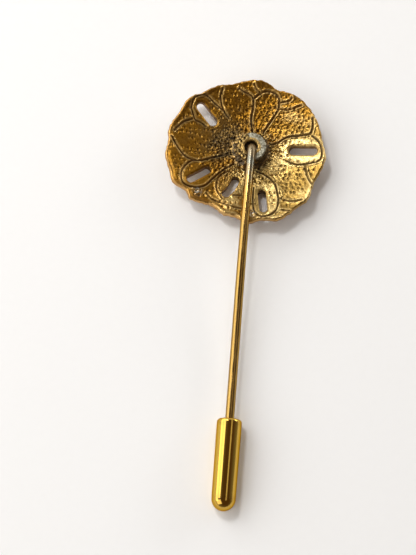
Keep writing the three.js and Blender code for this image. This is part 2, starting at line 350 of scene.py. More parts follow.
def volume(vertices, faces):
    """The volume inside closed faces: the sum of signed pyramids from the origin, negative if inside out."""
    total = 0.0
    for group in faces:
        corners = vertices[group]
        for k in range(1, group.shape[1] - 1):
            a, b, c = corners[:, 0], corners[:, k], corners[:, k + 1]
            total += np.einsum("ij,ij->", a, np.cross(b, c)) / 6
    return total


def put_mesh(name, vertices, *faces):
    """An object at the origin whose mesh has these corners, given in millimetres round the head's middle."""
    if volume(vertices, faces) < 0:
        faces = [group[:, ::-1] for group in faces]
    mesh = bpy.data.meshes.new(name)
    listed = [face for group in faces for face in group.tolist()]
    mesh.from_pydata(((vertices + HEAD_MIDDLE) * MM).tolist(), [], listed)
    mesh.validate()
    obj = bpy.data.objects.new(name, mesh)
    bpy.context.collection.objects.link(obj)
    return obj


def corners_of(obj):
    """The mesh's corners in millimetres round the head's middle."""
    flat = np.empty(len(obj.data.vertices) * 3, np.float32)
    obj.data.vertices.foreach_get("co", flat)
    return flat.reshape(-1, 3) / MM - HEAD_MIDDLE


def facing_of(obj):
    """The corners' normals."""
    flat = np.empty(len(obj.data.vertices) * 3, np.float32)
    obj.data.vertex_normals.foreach_get("vector", flat)
    return flat.reshape(-1, 3)


def keep_value(obj, name, values):
    """Stores one number for each corner, for the piece's material to read."""
    attribute = obj.data.attributes.new(name, "FLOAT", "POINT")
    attribute.data.foreach_set("value", np.clip(values, 0, 1).astype(np.float32))


def turned(profile, sides):
    """A turned solid: a profile of (radius, height) points carried round the axis. A profile that ends on
    the axis is closed with fans at both ends, and any other is joined up into a ring."""
    profile = np.array(profile, float)
    on_axis = profile[0, 0] == 0
    rows = profile[1:-1] if on_axis else np.vstack([profile, profile[:1]])
    t = np.arange(sides) * 2 * np.pi / sides
    ring = rows if on_axis else rows[:-1]
    x = ring[:, :1] * np.cos(t)
    y = ring[:, :1] * np.sin(t)
    z = np.repeat(ring[:, 1:], sides, axis=1)
    vertices = np.stack([x, y, z], axis=-1).reshape(-1, 3)
    if not on_axis:
        quads = ring_faces(len(rows), sides) % len(vertices)
        return vertices, [quads]
    return closed(vertices.reshape(-1, sides, 3), [0, 0, profile[0, 1]], [0, 0, profile[-1, 1]])


def arc(middle, radius, start, end, steps):
    """Points of a round stretch of a profile, from one angle to another in degrees."""
    t = np.radians(np.linspace(start, end, steps + 1))
    return np.column_stack([middle[0] + radius * np.cos(t), middle[1] + radius * np.sin(t)])


def carried(line, radii, sides):
    """A rod: rings carried along a middle line, each square to it and with its own radius, closed by flat
    ends. The first direction across is +X, made square to the line."""
    heading = np.gradient(line, axis=0)
    heading /= np.linalg.norm(heading, axis=1, keepdims=True)
    across = np.array([1.0, 0, 0]) - heading * heading[:, :1]
    across /= np.linalg.norm(across, axis=1, keepdims=True)
    over = np.cross(heading, across)
    t = (np.arange(sides) * 2 * np.pi / sides)[None, :, None]
    rings = line[:, None] + radii[:, None, None] * (np.cos(t) * across[:, None] + np.sin(t) * over[:, None])
    return closed(rings, line[0], line[-1])


def slot_cutter(width, start, end, lean_at):
    """A prism round a straight stretch of a slot, with round ends, which leans outwards as it goes down,
    square to the hollow side at the point lean_at."""
    (x0, y0), (x1, y1) = start, end
    along = math.atan2(y1 - y0, x1 - x0)
    round_end = arc((0, 0), width / 2, -90, 90, 16)
    far = round_end + (math.hypot(x1 - x0, y1 - y0), 0)
    outline = np.vstack([far, -round_end])
    turn = np.array([[math.cos(along), -math.sin(along)], [math.sin(along), math.cos(along)]])
    outline = outline @ turn.T + (x0, y0)
    r = math.hypot(*lean_at)
    slope = 2 * RISE * r / HEAD_RADIUS**2
    heights = np.array([hollow_height(r) + 2.5, hollow_height(r) - 4.0])
    shift = (heights - hollow_height(r)) * -slope / r
    levels = np.stack([
        np.column_stack([outline + s * np.array(lean_at), np.full(len(outline), h)])
        for s, h in zip(shift, heights)
    ])
    vertices, faces = closed(levels, *levels.mean(axis=1))
    return put_mesh("cutter", vertices, *faces)


def cut_and_joined(base, name, joins, cuts):
    """The base with some solids joined to it and others cut out of it, as one new object."""
    for operation, tools in (("UNION", joins), ("DIFFERENCE", cuts)):
        for tool in tools:
            modifier = base.modifiers.new(operation, "BOOLEAN")
            modifier.operation, modifier.solver, modifier.object = operation, "MANIFOLD", tool
    ready = base.evaluated_get(bpy.context.evaluated_depsgraph_get())
    mesh = bpy.data.meshes.new_from_object(ready)
    mesh.name = name
    obj = bpy.data.objects.new(name, mesh)
    bpy.context.collection.objects.link(obj)
    for used in (base, *joins, *cuts):
        bpy.data.objects.remove(used)
    return obj


def finish_piece(obj, node, body, material):
    """Creases the edges that are sharper than an angle, puts the material on, hangs the piece under its
    body's empty, and hides the CAD part that it stands for."""
    with bpy.context.temp_override(object=obj, active_object=obj, selected_editable_objects=[obj]):
        bpy.ops.object.shade_smooth_by_angle(angle=CREASE_ANGLE)
    obj.data.materials.clear()
    obj.data.materials.append(material)
    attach(obj, body)
    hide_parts(node)


# ---------------------------------------------------------------- materials

class Finish:
    """A material under construction: its nodes, and short ways to add one and join it up."""

    def __init__(self, name):
        self.material = bpy.data.materials.new(name)
        self.material.use_nodes = True
        self.nodes = self.material.node_tree.nodes
        self.links = self.material.node_tree.links
        self.shader = self.nodes["Principled BSDF"]
        self.place = self.nodes.new("ShaderNodeTexCoord").outputs["Object"]

    def feed(self, socket, value):
        """Gives a socket a fixed value, or links another node's output to it."""
        if isinstance(value, bpy.types.NodeSocket):
            self.links.new(value, socket)
        else:
            socket.default_value = value

    def noise(self, scale, detail=4.0, roughness=0.5, stretch=(1, 1, 1)):
        """Cloudy variation, scale features to the metre, stretched along an axis by a share under one."""
        place = self.nodes.new("ShaderNodeMapping")
        self.links.new(self.place, place.inputs["Vector"])
        place.inputs["Scale"].default_value = stretch
        node = self.nodes.new("ShaderNodeTexNoise")
        self.links.new(place.outputs["Vector"], node.inputs["Vector"])
        node.inputs["Scale"].default_value = scale
        node.inputs["Detail"].default_value = detail
        node.inputs["Roughness"].default_value = roughness
        return node.outputs["Fac"]

    def cells(self, scale):
        """The distance from scattered points, scale points to the metre."""
        node = self.nodes.new("ShaderNodeTexVoronoi")
        self.links.new(self.place, node.inputs["Vector"])
        node.inputs["Scale"].default_value = scale
        return node.outputs["Distance"]

    def kept(self, name):
        """A number kept on the mesh's corners."""
        node = self.nodes.new("ShaderNodeAttribute")
        node.attribute_name = name
        return node.outputs["Fac"]

    def sum(self, a, b, operation="ADD"):
        node = self.nodes.new("ShaderNodeMath")
        node.operation = operation
        self.feed(node.inputs[0], a)
        self.feed(node.inputs[1], b)
        return node.outputs["Value"]

    def times(self, a, b):
        return self.sum(a, b, "MULTIPLY")

    def spread(self, value, low, high, to_low=0.0, to_high=1.0):
        """Carries the range low to high over to another range, and no further."""
        node = self.nodes.new("ShaderNodeMapRange")
        sockets = {"Value": value, "From Min": low, "From Max": high, "To Min": to_low, "To Max": to_high}
        for name, given in sockets.items():
            self.feed(node.inputs[name], given)
        return node.outputs["Result"]

    def mix(self, share, first, second):
        node = self.nodes.new("ShaderNodeMix")
        node.data_type = "RGBA"
        self.feed(node.inputs["Factor"], share)
        for socket, colour in ((node.inputs["A"], first), (node.inputs["B"], second)):
            self.feed(socket, colour if isinstance(colour, bpy.types.NodeSocket) else (*colour, 1.0))
        return node.outputs["Result"]

    def bump(self, height, strength, distance, under=None):
        node = self.nodes.new("ShaderNodeBump")
        node.inputs["Strength"].default_value = strength
        node.inputs["Distance"].default_value = distance
        self.links.new(height, node.inputs["Height"])
        if under is not None:
            self.links.new(under, node.inputs["Normal"])
        return node.outputs["Normal"]

    def done(self, **sockets):
        """Sets the shader's sockets by name, with spaces written as underscores."""
        for name, value in sockets.items():
            if isinstance(value, tuple):
                value = (*value, 1.0)
            self.feed(self.shader.inputs[name.replace("_", " ")], value)
        return self.material


def antique_gold(gold, patina):
    """Cast brass under antiqued gold plate: warm gold that drifts in tone at random, browner on the upper
    left as painted shade and creamy on the lower right as painted sheen, a paler gold as painted highlights
    on raised spots, line banks and beside the slots, dark patina in the engraved lines and dots with painted
    shade on the slot walls, dark stained patches with a painted shadow round the boss, copper showing where
    the rim is rubbed, pale bare spots, and a fine cast grain."""
    finish = Finish("antique_gold")
    drift = finish.spread(finish.noise(260, 3), 0.35, 0.65, -0.15, 0.15)
    # brown, pale and creamy are the colours of the painted shade, the painted highlights and the painted
    # sheen
    brown = (gold[0] * 0.87, gold[1] * 0.77, gold[2] * 0.47)
    pale = (gold[0] * 2.05, gold[1] * 2.8, gold[2] * 6.8)
    creamy = (gold[0] * 0.88, gold[1] * 1.02, gold[2] * 1.5)
    # Painted shade and sheen: browner where the pale share is low, on the upper left, and creamy where it is
    # high, on the lower right, with a random drift in tone
    tone = finish.mix(finish.spread(finish.sum(finish.kept("pale"), drift), 0.0, 0.6), brown, gold)
    tone = finish.mix(finish.spread(finish.sum(finish.kept("pale"), drift), 0.5, 1.0), tone, creamy)
    # Painted highlights: the pale gold where the high share marks raised relief, line banks and the edges
    # beside the slots
    tone = finish.mix(finish.kept("high"), tone, pale)
    specks = finish.spread(finish.noise(2600, 5, 0.6), 0.5, 0.68)
    # Darkening from the patina in the lines and dots with painted shade on the slot walls, and from stained
    # patches with the painted shadow round the boss
    shade_and_patina = finish.kept("patina_and_painted_shade")
    stain_and_painted_shadow = finish.kept("stain_and_painted_shadow")
    dark = finish.sum(finish.times(shade_and_patina, 0.9), finish.times(stain_and_painted_shadow, specks))
    dark = finish.spread(dark, 0.08, 0.95, 0.0, 0.96)
    # Stained patches and the painted shadow round the boss, in a dark colour
    tone = finish.mix(finish.times(stain_and_painted_shadow, 0.6), tone, STAIN_AND_PAINTED_SHADOW)
    tone = finish.mix(finish.kept("rub"), tone, COPPER)
    tone = finish.mix(dark, tone, patina)
    tone = finish.mix(finish.kept("bare"), tone, BARE_METAL)
    grain = finish.noise(3400, 5, 0.62)
    rough = finish.spread(grain, 0.3, 0.7, 0.24, 0.4)
    rough = finish.sum(rough, finish.times(dark, 0.3))
    metal = finish.spread(dark, 0, 1, 1.0, 0.35)
    fine = finish.bump(grain, 0.5, 0.00005)
    pitted = finish.bump(finish.cells(2300), 0.6, 0.00008, fine)
    return finish.done(Base_Color=tone, Roughness=rough, Metallic=metal, Normal=pitted)


def solder_metal(gold):
    """Lumpy solder under thin plate: gold on the lumps, brown between them."""
    finish = Finish("solder")
    lumps = finish.noise(1900, 5, 0.6)
    # Darker between the lumps and where the kept share marks the collar's groove and its painted shadow on
    # the right
    dark = finish.spread(finish.sum(lumps, finish.kept("patina_and_painted_shade"), "SUBTRACT"), 0.52, 0.3)
    tone = finish.mix(finish.spread(finish.noise(700, 3), 0.4, 0.62), (0.5, 0.31, 0.11), gold)
    tone = finish.mix(finish.kept("worn"), tone, (0.3, 0.29, 0.24))
    tone = finish.mix(finish.times(dark, 0.9), tone, (0.035, 0.024, 0.012))
    normal = finish.bump(lumps, 0.7, 0.00012)
    return finish.done(
        Base_Color=tone, Roughness=finish.spread(lumps, 0.3, 0.7, 0.48, 0.28),
        Metallic=finish.spread(dark, 0, 1, 1.0, 0.5), Normal=normal,
    )


def worn_nickel(gold, nickel):
    """The pad's plate, rubbed through to grey nickel silver on one side, with dull smears."""
    finish = Finish("worn_nickel")
    smears = finish.noise(900, 4, 0.55)
    edge = finish.sum(finish.kept("worn"), finish.spread(smears, 0.3, 0.7, -0.3, 0.3))
    dirt = finish.spread(finish.noise(2700, 5, 0.65), 0.44, 0.62, 0.0, 0.85)
    tone = finish.mix(finish.spread(edge, 0.35, 0.65), gold, nickel)
    tone = finish.mix(dirt, tone, (0.09, 0.07, 0.035))
    # Dark brown where the pad's kept share marks the low places between the lumps
    tone = finish.mix(finish.kept("patina_and_painted_shade"), tone, (0.05, 0.028, 0.01))
    normal = finish.bump(finish.noise(3000, 4), 0.6, 0.00008)
    return finish.done(
        Base_Color=tone, Roughness=finish.spread(smears, 0.3, 0.7, 0.3, 0.5), Metallic=0.96, Normal=normal,
    )


def gilded_wire(gold, nickel):
    """Drawn wire under gold plate, grey towards its root, with fine lines along it and brown tarnish."""
    finish = Finish("gilded_wire")
    drawn = finish.noise(2600, 4, 0.6, (1, 0.03, 1))
    blotch = finish.spread(finish.noise(420, 4), 0.4, 0.7)
    worn = finish.sum(finish.kept("worn"), finish.spread(finish.noise(800, 3), 0.3, 0.7, -0.2, 0.2))
    tone = finish.mix(finish.spread(worn, 0.15, 0.75), gold, nickel)
    tone = finish.mix(finish.times(blotch, 0.4), tone, (0.42, 0.24, 0.07))
    rough = finish.sum(finish.spread(blotch, 0, 1, 0.15, 0.26), finish.times(worn, 0.16))
    normal = finish.bump(drawn, 0.18, 0.00003)
    return finish.done(
        Base_Color=tone, Roughness=rough, Metallic=1.0, Normal=normal, Specular_Tint=(0.45, 0.3, 0.12),
    )


def polished_brass(gold):
    """Mirror-bright gold plate with a faint unevenness, hair scratches and brown tarnish by its edges."""
    finish = Finish("polished_brass")
    hair = finish.spread(finish.noise(1500, 5, 0.7, (1, 0.12, 1)), 0.62, 0.75)
    tarnish = finish.times(finish.kept("tarnish"), finish.spread(finish.noise(700, 4), 0.35, 0.7, 0.3, 1.0))
    tone = finish.mix(finish.times(tarnish, 0.8), gold, (0.36, 0.17, 0.05))
    rough = finish.sum(finish.spread(hair, 0, 1, 0.09, 0.24), finish.times(tarnish, 0.15))
    wavy = finish.bump(finish.noise(330, 2, 0.4, (1, 0.45, 1)), 0.12, 0.0002)
    normal = finish.bump(hair, 0.06, 0.00002, wavy)
    return finish.done(
        Base_Color=tone, Roughness=rough, Metallic=1.0, Normal=normal, Specular_Tint=(0.6, 0.4, 0.12),
    )


def natural_nylon():
    """Moulded nylon: milky, slightly see-through, with soft mould marks."""
    finish = Finish("nylon")
    clouds = finish.noise(600, 3)
    tone = finish.mix(finish.spread(clouds, 0.3, 0.7), (0.72, 0.69, 0.6), (0.84, 0.82, 0.75))
    normal = finish.bump(finish.noise(2500, 3), 0.2, 0.00004)
    return finish.done(
        Base_Color=tone, Roughness=finish.spread(clouds, 0.3, 0.7, 0.42, 0.58), Normal=normal,
        Subsurface_Weight=0.15, Subsurface_Scale=0.001,
    )


# ---------------------------------------------------------------- what a user would change

def colour(name, description, default):
    return FloatVectorProperty(
        name=name, description=description, subtype="COLOR", size=3, default=default, min=0, max=1,
    )


def length(name, description, default, low=0.0):
    """A length, with its default and its least value given in millimetres."""
    return FloatProperty(
        name=name, description=description, default=default * MM, min=low * MM, unit="LENGTH", precision=5,
    )


def brightness(name, where, default):
    return FloatProperty(name=name, description="Brightness of the light " + where, default=default, min=0)


class HeadSettings(bpy.types.PropertyGroup):
    line_depth: length("Engraving", "Depth of the engraved lines", 0.2)
    dot_depth: length("Dots", "Depth of the cast dots", 0.2)
    edge_round: length("Rim rounding", "How far the rim is rounded in from the outline", 0.32, 0.05)
    columns: IntProperty(name="Columns", description="Columns of faces round the head", default=640, min=60)
    gold: colour("Gold", "Colour of the antiqued gold plate", (0.36, 0.19, 0.031))
    # The patina colour also paints the shade on the slot walls
    patina: colour("Patina", "Colour of the dark patina in the recesses", (0.03, 0.02, 0.009))


class SolderSettings(bpy.types.PropertyGroup):
    lumps: length("Lumps", "Height of the solder's lumps", 0.16)
    nickel: colour("Nickel", "Colour of the bare nickel silver", (0.34, 0.325, 0.25))
    gold: colour("Plate", "Colour of the plate that is left", (0.54, 0.35, 0.115))


class WireSettings(bpy.types.PropertyGroup):
    sides: IntProperty(name="Sides", description="Faces round the wire", default=40, min=8)
    grey_length: length("Grey length", "How far from the root the plate is worn", 12)
    gold: colour("Gold", "Colour of the wire's plate", (0.43, 0.27, 0.075))


class ClutchSettings(bpy.types.PropertyGroup):
    shoulder: length("Shoulder", "Radius of the rounded edge at the mouth", 0.5, 0.1)
    sides: IntProperty(name="Sides", description="Faces round the clutch", default=128, min=16)
    gold: colour("Gold", "Colour of the polished plate", (0.64, 0.4, 0.075))


class StageSettings(bpy.types.PropertyGroup):
    floor: colour("Table", "Colour of the table", (0.97, 0.97, 0.97))
    key: brightness("Key light", "high on the left", 2.3)
    side: brightness("Side light", "low on the left", 1.75)
    near: brightness("Near light", "at the near left", 1.5)
    back: brightness("Back light", "behind the head", 0.12)
    strip: brightness("Strip light", "overhead on the right, long and narrow", 0.65)
    edge: brightness("Edge light", "low behind the right", 5.0)
    spark: brightness("Spark light", "above the left, small and strong", 26)


# ---------------------------------------------------------------- operators

class PIN_OT_head(bpy.types.Operator):
    """Make the cast sand dollar head with its slots, boss, engraving and dots"""

    bl_idname = "pin.make_head"
    bl_label = "Make Head"

    def execute(self, context):
        settings = context.scene.pin_head
        head = cut_and_joined(
            self.dish(settings), "sand_dollar_head", [self.boss()], [self.root_hole(), *self.slot_cutters()],
        )
        self.keep_wear_and_painted_light(head, settings)
        material = antique_gold(tuple(settings.gold), tuple(settings.patina))
        finish_piece(head, "sand_dollar_head", "pin", material)
        return {"FINISHED"}

    def dish(self, settings):
        """The closed dish: rings across the hollow side, down round the rim in a half ellipse, and back
        across the domed side. A ring is a share of the outline's radius less the rounding, at the side's
        height."""
        columns, rounding = settings.columns, settings.edge_round / MM
        t = np.arange(columns) * 2 * np.pi / columns
        uneven = 0.035 * rolling(HEAD_RADIUS * np.cos(t), HEAD_RADIUS * np.sin(t), 1.1, 71)
        inner_edge = rim_radius(t) + uneven - rounding
        hollow = np.concatenate([[0.08, 0.15], np.linspace(0.185, 1, 94)])
        domed = np.linspace(1, 0.03, 38)
        roll = np.radians(np.linspace(75, -75, 7))

        def side(share, height, relief):
            r = share[:, None] * inner_edge
            x, y = r * np.cos(t), r * np.sin(t)
            return np.stack([x, y, height(r) + relief(x, y)], axis=-1)

        depth, dot_depth = settings.line_depth / MM, settings.dot_depth / MM
        top = side(hollow, hollow_height, lambda x, y: hollow_relief(x, y, depth, dot_depth))
        under = side(domed, domed_height, domed_relief)
        middle, half = (top[-1, :, 2] + under[0, :, 2]) / 2, (top[-1, :, 2] - under[0, :, 2]) / 2
        r = inner_edge + rounding * np.cos(roll)[:, None]
        rim = np.stack([r * np.cos(t), r * np.sin(t), middle + half * np.sin(roll)[:, None]], axis=-1)
        vertices, faces = closed(np.concatenate([top, rim, under]), [0, 0, CENTRE_WALL], [0, 0, 0])
        return put_mesh("dish", vertices, *faces)

    def boss(self):
        """The boss in the middle of the hollow side, a short turned post."""
        top = pad_low[2] - 0.03
        vertices, faces = turned([(0, 0.6), (BOSS_RADIUS, 0.6), (BOSS_RADIUS, top), (0, top)], 96)
        return put_mesh("boss", vertices + (*BOSS, 0), *faces)

    def root_hole(self):
        """The blind hole for the wire's root."""
        radius = ROOT_HOLE_RADIUS
        vertices, faces = turned([(0, 1.5), (radius, 1.5), (radius, 4), (0, 4)], 64)
        return put_mesh("hole", vertices + (*BOSS, 0), *faces)

    def slot_cutters(self):
        """One cutter for each straight stretch of each slot."""
        return [
            slot_cutter(width, start, end, line[0])
            for width, line in SLOTS for start, end in zip(line[:-1], line[1:])
        ]

    def keep_wear_and_painted_light(self, head, settings):
        """Keeps for each corner: a paler share towards the lower right, mostly painted sheen and partly a
        rubbed plate (pale); painted highlights on the raised relief, beside the slots and on the line banks
        (high); the patina in the lines and dots, with painted shade on the slot walls; dark stained patches
        with a painted shadow round the boss; how rubbed the rim is and how bare the plate is.
        """
        x, y, z = corners_of(head).T
        up = facing_of(head)[:, 2]
        r, angle = np.hypot(x, y), np.arctan2(y, x)
        from_rim = rim_radius(angle) - r
        in_slot = ease(0.05, -0.05, slot_distance(x, y)) * (r < 12)
        dotted = dots(x, y, *DOTS_IN_WEAR, dotted_zone)
        small = dots(x, y, *SMALL_DOTS, dotted_zone) * (1 - ease(*INNER_ZONE, r))
        hollow_side = ease(-0.1, 0.3, up)
        # A paler share that grows towards the lower right of the hollow side, mostly painted sheen where the
        # light falls and partly a rubbed plate
        towards = np.cos(np.arctan2(y, x + 2) + math.radians(33)) * ease(0, 4, np.hypot(x + 2, y))
        pale = ease(-0.05, 0.95, towards) * hollow_side
        # The patina in the dots is weaker on the painted sheen side, so the pits read lighter there
        pits = np.maximum((0.5 - 0.32 * pale) * dotted, (0.4 - 0.25 * pale) * small)
        patina_and_painted_shade = np.maximum(line_depth(x, y), pits) * hollow_side
        petals = np.min([distance_to(x, y, petal_outline(a)) for a in PETAL_ANGLES], axis=0)
        patina_and_painted_shade = np.maximum(patina_and_painted_shade, 0.8 * dent(petals, 0.22) * (1 - hollow_side))
        # Painted shade on the slot walls
        patina_and_painted_shade = np.maximum(patina_and_painted_shade, 0.75 * in_slot)
        from_boss = np.hypot(x - BOSS[0], y - BOSS[1])
        # A dark patch left of the middle, and a darker spot below and right of the boss that is partly a
        # painted shadow of it
        stains_and_painted_shadow = 1.25 * dent(np.hypot(x + 3.2, y - 2.2), 3.5) + 0.4 * dent(np.hypot(x - 1.9, y + 2.1), 1.3)
        below = ease(0.2, 0.9, np.cos(np.arctan2(y - BOSS[1], x - BOSS[0]) + math.radians(38)))
        # A painted shadow in a ring round the foot of the boss, darkest on its lower right, and a faint
        # random mottling
        stains_and_painted_shadow = stains_and_painted_shadow + (0.25 + 0.55 * below) * dent(from_boss - 2.8, 0.65) + 0.12 * rolling(x, y, 2.2, 41)
        rub = 0.7 * dent(from_rim, 0.35) * ease(-0.9, 1.0, np.cos(angle - RUBBED_RIM))
        bare = np.maximum(
            dent(np.hypot(x + 7.2, y + 7.1), 0.55), dent(np.hypot(x - 1.55, y + 10.2), 0.5),
        ) * ease(-0.6, 0.6, rolling(x, y, 0.6, 43))
        relief = hollow_relief(x, y, settings.line_depth / MM, settings.dot_depth / MM)
        # Painted highlights beside the slots, stronger on the right
        beside_slot = dent(slot_distance(x, y) - 0.7, 0.7) * (1 - line_depth(x, y)) * (1 - in_slot)
        beside_slot = beside_slot * (0.5 + 0.5 * ease(3, 6, x))
        # A pale patch right of the boss, which joins the painted highlights
        pale_patch = 0.5 * dent(np.hypot(x - 4.3, y + 1.6), 2.3)
        # Painted highlights on the raised relief on the lit side, with the pale patch and the banks beside
        # the lines
        high = np.maximum(ease(0.0, 0.1, relief), beside_slot) * pale
        high = np.maximum.reduce([high, pale_patch, 0.45 * line_banks(x, y)])
        keep_value(head, "high", high * hollow_side)
        keep_value(head, "pale", pale)
        keep_value(head, "patina_and_painted_shade", patina_and_painted_shade)
        keep_value(head, "stain_and_painted_shadow", stains_and_painted_shadow * hollow_side)
        keep_value(head, "rub", rub)
        keep_value(head, "bare", bare * hollow_side)


class PIN_OT_solder(bpy.types.Operator):
    """Make the pad and the solder that holds it and the wire's root"""

    bl_idname = "pin.make_solder"
    bl_label = "Make Pad and Solder"

    def execute(self, context):
        settings = context.scene.pin_solder
        gold, nickel = tuple(settings.gold), tuple(settings.nickel)
        self.pad(settings, worn_nickel(gold, tuple(1.35 * c for c in nickel)))
        solder = solder_metal(gold)
        self.collar(settings, solder)
        self.root(solder)
        return {"FINISHED"}

    def left_share(self, vertices):
        """1 on the left of the boss and below it, 0 on its smooth right side."""
        angle = np.arctan2(vertices[:, 1] - BOSS[1], vertices[:, 0] - BOSS[0])
        return ease(-0.25, 0.35, np.cos(angle - math.radians(200)))

    def pad(self, settings, material):
        """The pad: a turned ring with rolled edges, lumpy where solder has run over its left side."""
        low, high = pad_low[2], pad_high[2]
        outer = (pad_high[0] - pad_low[0]) / 2
        profile = np.vstack([
            [(ROOT_HOLE_RADIUS, low), (outer - 0.03, low)],
            arc((outer - 0.2, high - 0.2), 0.2, -40, 90, 8),
            np.column_stack([np.linspace(outer - 0.3, ROOT_HOLE_RADIUS + 0.3, 14), np.full(14, high)]),
            arc((ROOT_HOLE_RADIUS + 0.2, high - 0.2), 0.2, 90, 180, 8),
        ])
        vertices, faces = turned(profile, 180)
        vertices = vertices + (*BOSS, 0)
        x, y = vertices[:, 0], vertices[:, 1]
        lumps = rolling(x, y, 0.75, 51) + 0.6 * rolling(x, y, 0.4, 52)
        upper = ease(low + 0.1, high - 0.05, vertices[:, 2])
        angle = np.arctan2(vertices[:, 1] - BOSS[1], vertices[:, 0] - BOSS[0])
        r = np.hypot(vertices[:, 0] - BOSS[0], vertices[:, 1] - BOSS[1])
        lip = 0.09 * dent(r - 1.38, 0.13)
        rise = np.minimum(0.3 * settings.lumps / MM * lumps * ease(1.45, 1.65, r), 0.06) + lip
        vertices[:, 2] += upper * rise * self.left_share(vertices)
        pad = put_mesh("pin_pad", vertices, *faces)
        silver = ease(-0.2, 0.3, np.cos(angle - math.radians(22))) * ease(1.15, 1.9, r)
        keep_value(pad, "worn", silver)
        # Darker in the low places between the lumps on the left side
        keep_value(pad, "patina_and_painted_shade", self.left_share(vertices) * ease(0.5, -0.7, lumps) * ease(1.45, 1.65, r))
        finish_piece(pad, "pin_pad", "pin", material)

    def collar(self, settings, material):
        """The solder collar: a turned ring with a hollow flank between its foot and the pad, pushed in and
        out by lumps, most of all on the left."""
        low, high = (np.array(corner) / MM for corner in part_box("solder_collar"))
        foot = (high[0] - low[0]) / 2
        inner = BOSS_RADIUS + 0.02
        t = np.linspace(0, 1, 18)
        flank = np.column_stack([
            2.5 + (foot - 2.5) * (1 - t) ** 1.8, low[2] + 0.06 + (high[2] - low[2] - 0.06) * t**1.15,
        ])
        profile = np.vstack([[(inner, low[2] - 0.1), (foot, low[2] - 0.1)], flank, [(inner, high[2])]])
        vertices, faces = turned(profile, 180)
        angle = np.arctan2(vertices[:, 1], vertices[:, 0])
        round_ring, height = angle * 3, vertices[:, 2]
        lumps = rolling(round_ring, height, 0.9, 61) + 0.7 * rolling(round_ring, height, 0.45, 62)
        vertices = vertices + (*BOSS, 0)
        share = 0.15 + 0.85 * self.left_share(vertices)
        r = np.hypot(vertices[:, 0] - BOSS[0], vertices[:, 1] - BOSS[1])
        push = settings.lumps / MM * lumps * share * ease(inner + 0.05, inner + 0.15, r)
        vertices[:, :2] += (vertices[:, :2] - BOSS) / r[:, None] * push[:, None]
        steps = 0.13 * dent(r - 2.86, 0.09) - 0.1 * dent(r - 2.66, 0.08)
        vertices[:, 2] += steps * share * ease(low[2] - 0.05, low[2] + 0.1, vertices[:, 2])
        collar = put_mesh("solder_collar", vertices, *faces)
        keep_value(collar, "worn", 0.35 * (1 - self.left_share(vertices)))
        # Painted shadow on the collar's right side, with darkening between the lumps and in the groove inside
        # the ridge
        right = 1 - self.left_share(vertices)
        keep_value(collar, "patina_and_painted_shade", 0.04 + 0.12 * right - 0.12 * lumps + 0.7 * dent(r - 2.66, 0.1))
        finish_piece(collar, "solder_collar", "pin", material)

    def root(self, material):
        """The solder in the root hole: a turned plug, sunk in the middle, that the wire stands in."""
        low, high = (np.array(corner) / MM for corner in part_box("root_solder"))
        radius = ROOT_HOLE_RADIUS - 0.02
        t = np.linspace(1, 0, 12)
        meniscus = np.column_stack([radius * t, high[2] - 0.12 * (1 - t**2)])
        vertices, faces = turned(np.vstack([[(0, low[2])], [(radius, low[2])], meniscus]), 64)
        root = put_mesh("root_solder", vertices + (*BOSS, 0), *faces)
        keep_value(root, "worn", np.full(len(vertices), 0.2))
        keep_value(root, "patina_and_painted_shade", np.full(len(vertices), 0.25))
        finish_piece(root, "root_solder", "pin", material)


class PIN_OT_wire(bpy.types.Operator):
    """Make the bent wire stem with its ground point"""

    bl_idname = "pin.make_wire"
    bl_label = "Make Wire"

    def execute(self, context):
        settings = context.scene.pin_wire
        line, radii = self.stations()
        vertices, faces = carried(line, radii, settings.sides)
        wire = put_mesh("pin_wire", vertices, *faces)
        travelled = np.concatenate([[0], np.cumsum(np.linalg.norm(np.diff(line, axis=0), axis=1))])
        worn = 1 - ease(0.2, 1.0, travelled / (settings.grey_length / MM))
        keep_value(wire, "worn", np.concatenate([np.repeat(worn, settings.sides), worn[:1], worn[-1:]]))
        dull_nickel = tuple(0.6 * c for c in context.scene.pin_solder.nickel)
        material = gilded_wire(tuple(settings.gold), dull_nickel)
        finish_piece(wire, "pin_wire", "pin", material)
        return {"FINISHED"}

    def stations(self):
        """The middle line and the radius along it: up from the root, a quarter circle, a long cubic curve
        down to the level of the clutch's axis, a straight stretch, and a point that narrows along a
        parabola."""
        heading = np.array([-math.sin(BEND_HEADING), -math.cos(BEND_HEADING), 0])
        up, back = np.array([0, 0, 1.0]), np.array([0, 1.0, 0])
        bend_start = ROOT + up * (BEND_TOP - BEND_RADIUS - ROOT[2])
        turn = np.linspace(0, np.pi / 2, 28)[:, None]
        bend = bend_start + BEND_RADIUS * (heading * (1 - np.cos(turn)) + up * np.sin(turn))
        bend_end = bend[-1]
        straight = np.array([STEM_X, SPRUNG_END_Y, MOUTH_RADIUS])
        reach = bend_end[1] - SPRUNG_END_Y
        t = np.linspace(0, 1, 90)[1:, None]
        sprung = (
            (1 - t) ** 3 * bend_end + 3 * (1 - t) ** 2 * t * (bend_end + heading * reach * 0.45)
            + 3 * (1 - t) * t**2 * (straight + back * reach / 3) + t**3 * straight
        )
        tip = MOUTH_Y - CLUTCH_LENGTH + SHELL_WALL + POINT_TO_END
        shank = np.linspace(SPRUNG_END_Y, tip + POINT_LENGTH, 24)[1:]
        point = np.linspace(tip + POINT_LENGTH, tip, 20)[1:]
        level = np.concatenate([shank, point])
        in_clutch = np.column_stack([np.full(len(level), STEM_X), level, np.full(len(level), MOUTH_RADIUS)])
        line = np.vstack([ROOT, bend, sprung, in_clutch])
        radii = np.full(len(line), WIRE_RADIUS)
        share = (point - tip) / POINT_LENGTH
        radii[-len(point):] = 0.04 + (WIRE_RADIUS - 0.04) * (1.35 * share - 0.35 * share**2)
        return line, radii


